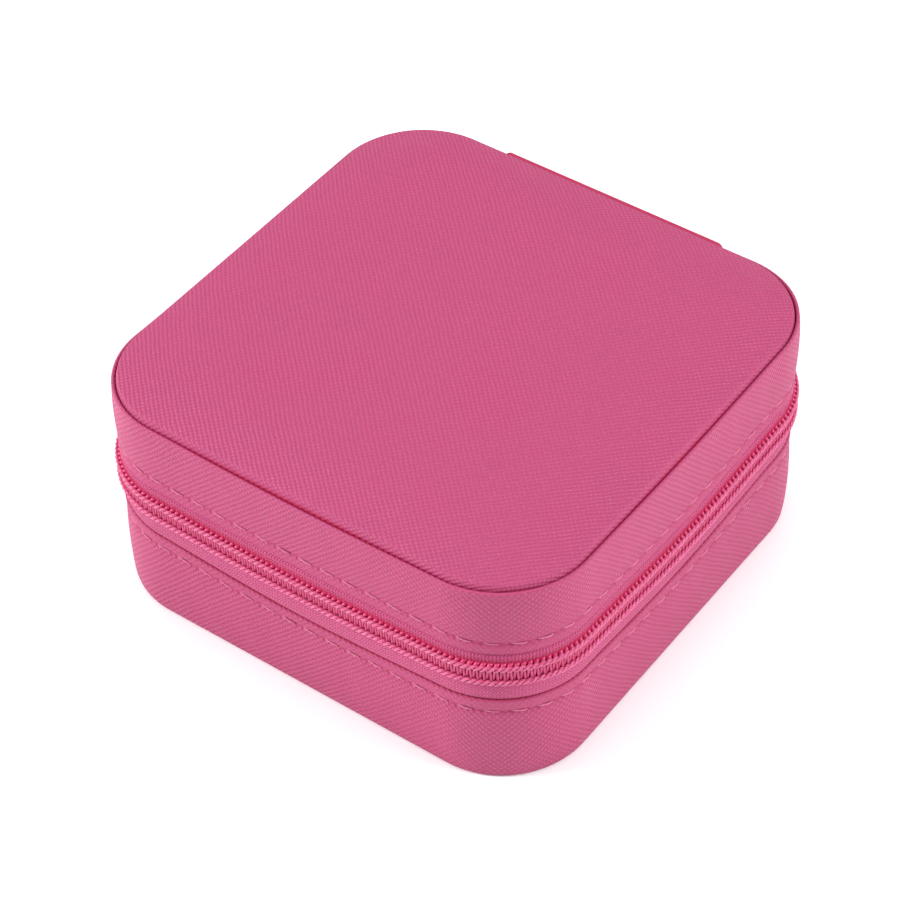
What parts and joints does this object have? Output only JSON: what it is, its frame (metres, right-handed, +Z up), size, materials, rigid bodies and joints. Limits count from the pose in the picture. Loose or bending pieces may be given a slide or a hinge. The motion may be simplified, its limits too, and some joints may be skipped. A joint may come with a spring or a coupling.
{
  "type": "travel jewellery case",
  "caption": "Square rounded travel jewellery case in stitched cross-grain leather, with a strap-hinged padded lid, a zip round the sides and a fitted velvet interior.",
  "frame": {"origin": "centre of the underside, on the surface that the case stands on", "axes": "+Z up through the lid; +Y from the front towards the strap hinge; +X to the right, seen from the front"},
  "size_m": [0.1052, 0.1023, 0.05],
  "materials": {
    "leather": "satin, cross-grain embossed",
    "velvet": "short pile, matte",
    "zip_tape": "woven, matte",
    "zip_coil": "semi-gloss nylon",
    "gold_metal": "polished",
    "board": "matte pressed board",
    "foam": "matte foam"
  },
  "bodies": {
    "base": {"base_leather_bottom": "leather", "base_leather_band": "leather", "base_bottom_board": "board", "base_wall_foam": "foam", "base_wall_board": "board", "base_lining_floor": "velvet", "base_lining_wall": "velvet", "ring_roll_1": "velvet", "ring_roll_2": "velvet", "ring_roll_3": "velvet", "ring_roll_4": "velvet", "ring_roll_5": "velvet", "ring_roll_6": "velvet", "long_partition": "velvet", "zip_tape_base": "zip_tape", "zip_coil_base": "zip_coil", "zip_stops_base": "gold_metal", "hinge_strap": "leather", "hinge_lining": "velvet"},
    "lid": {"lid_leather_top": "leather", "lid_leather_band": "leather", "lid_foam_pad": "foam", "lid_top_board": "board", "lid_wall_foam": "foam", "lid_wall_board": "board", "lid_lining_panel": "velvet", "lid_lining_wall": "velvet", "lid_pocket": "velvet", "pocket_elastic": "velvet", "zip_tape_lid": "zip_tape", "zip_coil_lid": "zip_coil", "zip_stops_lid": "gold_metal", "snap_stud_1": "gold_metal", "snap_stud_2": "gold_metal", "snap_stud_3": "gold_metal"},
    "zip_slider": {"zip_slider": "gold_metal"},
    "zip_pull_tab": {"zip_pull_tab": "gold_metal"},
    "cross_divider_1": {"cross_divider_1": "velvet"},
    "cross_divider_2": {"cross_divider_2": "velvet"},
    "hook_1": {"hook_strap_1": "leather", "snap_cap_1": "gold_metal"},
    "hook_2": {"hook_strap_2": "leather", "snap_cap_2": "gold_metal"},
    "hook_3": {"hook_strap_3": "leather", "snap_cap_3": "gold_metal"}
  },
  "joints": [
    {"name": "lid_hinge", "type": "hinge", "parent": "base", "child": "lid", "pos_m": [0, 0.051, 0.0276], "axis": [-1, 0, 0], "range_deg": [0, 105], "deforming": ["hinge_strap", "hinge_lining", "zip_tape_lid", "zip_coil_lid"]},
    {"name": "slider_travel", "type": "slide", "parent": "base", "child": "zip_slider", "axis": [0, -1, 0], "range_m": [0, 0.048], "deforming": ["zip_tape_base", "zip_coil_base", "zip_tape_lid", "zip_coil_lid"]},
    {"name": "pull_tab_swing", "type": "hinge", "parent": "zip_slider", "child": "zip_pull_tab", "pos_m": [-0.053, 0.0275, 0.0276], "axis": [1, 0, 0], "range_deg": [-60, 110]},
    {"name": "divider_1_lift", "type": "slide", "parent": "base", "child": "cross_divider_1", "axis": [0, 0, 1], "range_m": [0, 0.0155]},
    {"name": "divider_2_lift", "type": "slide", "parent": "base", "child": "cross_divider_2", "axis": [0, 0, 1], "range_m": [0, 0.0155]},
    {"name": "hook_1_flap", "type": "hinge", "parent": "lid", "child": "hook_1", "pos_m": [-0.027, -0.02, 0.042], "axis": [1, 0, 0], "range_deg": [0, 170]},
    {"name": "hook_2_flap", "type": "hinge", "parent": "lid", "child": "hook_2", "pos_m": [0, -0.02, 0.042], "axis": [1, 0, 0], "range_deg": [0, 170]},
    {"name": "hook_3_flap", "type": "hinge", "parent": "lid", "child": "hook_3", "pos_m": [0.027, -0.02, 0.042], "axis": [1, 0, 0], "range_deg": [0, 170]}
  ]
}
